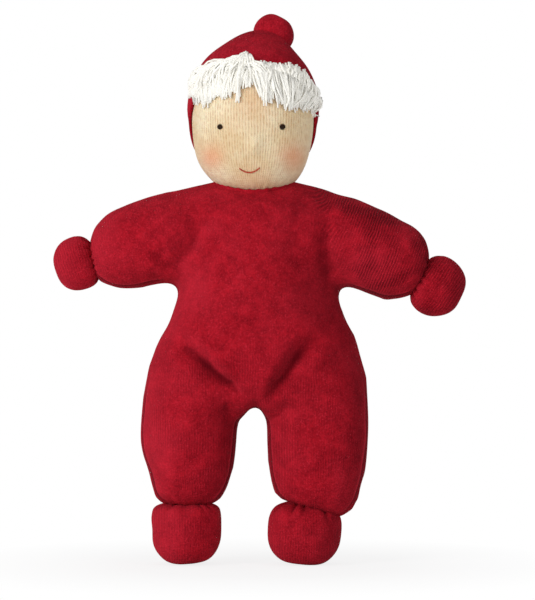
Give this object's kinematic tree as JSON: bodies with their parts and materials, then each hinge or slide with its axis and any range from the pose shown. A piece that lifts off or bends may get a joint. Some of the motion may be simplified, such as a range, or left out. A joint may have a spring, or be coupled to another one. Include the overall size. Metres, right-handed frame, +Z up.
{
  "type": "waldorf doll",
  "caption": "Small soft doll in a red velour suit and hood with a stitched face and white yarn fringe; stuffed limbs that bend at tied wrists and ankles.",
  "frame": {"origin": "on the floor, midway between the sides and between front and back of the whole doll, at the level of the soles", "axes": "+Z up from the soles to the tip of the hood; +X towards the doll's own left hand; the doll faces -Y"},
  "size_m": [0.2038, 0.0662, 0.2769],
  "materials": {
    "velour_red": "short-pile cotton velour with a mottled nap over fine knitted ribs",
    "jersey_cream": "matt ribbed cotton jersey",
    "wool_white": "loose carded wool",
    "yarn_white": "soft undyed yarn",
    "thread_red": "matt cotton thread",
    "thread_brown": "stranded embroidery cotton",
    "thread_rose": "stranded embroidery cotton"
  },
  "bodies": {
    "root": {"suit_body": "velour_red", "body_wool": "wool_white"},
    "neck": {"neck_bulb": "wool_white", "neck_string": "thread_red"},
    "head": {"face_skin": "jersey_cream", "head_wool": "wool_white", "nose_knot": "wool_white", "eye_left": "thread_brown", "eye_right": "thread_brown", "mouth": "thread_rose", "hair_fringe": "yarn_white", "hood": "velour_red"},
    "hood_tip": {"hood_tip": "velour_red", "hood_tip_wool": "wool_white", "hood_tip_tie": "thread_red"},
    "shoulder_left": {"shoulder_wool_left": "wool_white"},
    "arm_left": {"sleeve_left": "velour_red", "arm_wool_left": "wool_white"},
    "hand_left": {"hand_left": "velour_red", "hand_wool_left": "wool_white", "wrist_tie_left": "thread_red"},
    "hip_left": {"hip_wool_left": "wool_white"},
    "leg_left": {"trouser_leg_left": "velour_red", "leg_wool_left": "wool_white"},
    "foot_left": {"foot_left": "velour_red", "foot_wool_left": "wool_white", "ankle_tie_left": "thread_red"},
    "shoulder_right": {"shoulder_wool_right": "wool_white"},
    "arm_right": {"sleeve_right": "velour_red", "arm_wool_right": "wool_white"},
    "hand_right": {"hand_right": "velour_red", "hand_wool_right": "wool_white", "wrist_tie_right": "thread_red"},
    "hip_right": {"hip_wool_right": "wool_white"},
    "leg_right": {"trouser_leg_right": "velour_red", "leg_wool_right": "wool_white"},
    "foot_right": {"foot_right": "velour_red", "foot_wool_right": "wool_white", "ankle_tie_right": "thread_red"}
  },
  "joints": [
    {"name": "neck_nod", "type": "hinge", "parent": "root", "child": "neck", "pos_m": [-0.0015, 0, 0.1785], "axis": [1, 0, 0], "range_deg": [-12, 18], "stiffness_Nm_per_rad": 0.2},
    {"name": "head_turn", "type": "hinge", "parent": "neck", "child": "head", "pos_m": [-0.0015, 0, 0.1785], "axis": [0, 0, 1], "range_deg": [-45, 45], "stiffness_Nm_per_rad": 0.1},
    {"name": "hood_tip_flop", "type": "hinge", "parent": "head", "child": "hood_tip", "pos_m": [0.0015, 0, 0.2625], "axis": [0, 1, 0], "range_deg": [-60, 0], "stiffness_Nm_per_rad": 0.01},
    {"name": "shoulder_lift_left", "type": "hinge", "parent": "root", "child": "shoulder_left", "pos_m": [0.0335, 0, 0.165], "axis": [0, -1, 0], "range_deg": [-18, 30], "stiffness_Nm_per_rad": 0.3},
    {"name": "shoulder_swing_left", "type": "hinge", "parent": "shoulder_left", "child": "arm_left", "pos_m": [0.0335, 0, 0.165], "axis": [0, 0, -1], "range_deg": [-15, 45], "stiffness_Nm_per_rad": 0.15},
    {"name": "wrist_left", "type": "hinge", "parent": "arm_left", "child": "hand_left", "pos_m": [0.07785, 0, 0.14663], "axis": [0, -1, 0], "range_deg": [-25, 25], "stiffness_Nm_per_rad": 0.03},
    {"name": "hip_spread_left", "type": "hinge", "parent": "root", "child": "hip_left", "pos_m": [0.0275, 0, 0.09], "axis": [0, -1, 0], "range_deg": [-2, 15], "stiffness_Nm_per_rad": 0.4},
    {"name": "hip_swing_left", "type": "hinge", "parent": "hip_left", "child": "leg_left", "pos_m": [0.0275, 0, 0.09], "axis": [-1, 0, 0], "range_deg": [-12, 70], "stiffness_Nm_per_rad": 0.4},
    {"name": "ankle_left", "type": "hinge", "parent": "leg_left", "child": "foot_left", "pos_m": [0.0275, 0, 0.0315], "axis": [-1, 0, 0], "range_deg": [-15, 15], "stiffness_Nm_per_rad": 0.4},
    {"name": "shoulder_lift_right", "type": "hinge", "parent": "root", "child": "shoulder_right", "pos_m": [-0.0335, 0, 0.165], "axis": [0, 1, 0], "range_deg": [-18, 30], "stiffness_Nm_per_rad": 0.3},
    {"name": "shoulder_swing_right", "type": "hinge", "parent": "shoulder_right", "child": "arm_right", "pos_m": [-0.0335, 0, 0.165], "axis": [0, 0, 1], "range_deg": [-15, 45], "stiffness_Nm_per_rad": 0.15},
    {"name": "wrist_right", "type": "hinge", "parent": "arm_right", "child": "hand_right", "pos_m": [-0.08009, 0, 0.15347], "axis": [0, 1, 0], "range_deg": [-25, 25], "stiffness_Nm_per_rad": 0.03},
    {"name": "hip_spread_right", "type": "hinge", "parent": "root", "child": "hip_right", "pos_m": [-0.0275, 0, 0.09], "axis": [0, 1, 0], "range_deg": [-2, 15], "stiffness_Nm_per_rad": 0.4},
    {"name": "hip_swing_right", "type": "hinge", "parent": "hip_right", "child": "leg_right", "pos_m": [-0.0275, 0, 0.09], "axis": [-1, 0, 0], "range_deg": [-12, 70], "stiffness_Nm_per_rad": 0.4},
    {"name": "ankle_right", "type": "hinge", "parent": "leg_right", "child": "foot_right", "pos_m": [-0.03593, 0, 0.0315], "axis": [-1, 0, 0], "range_deg": [-15, 15], "stiffness_Nm_per_rad": 0.4}
  ]
}
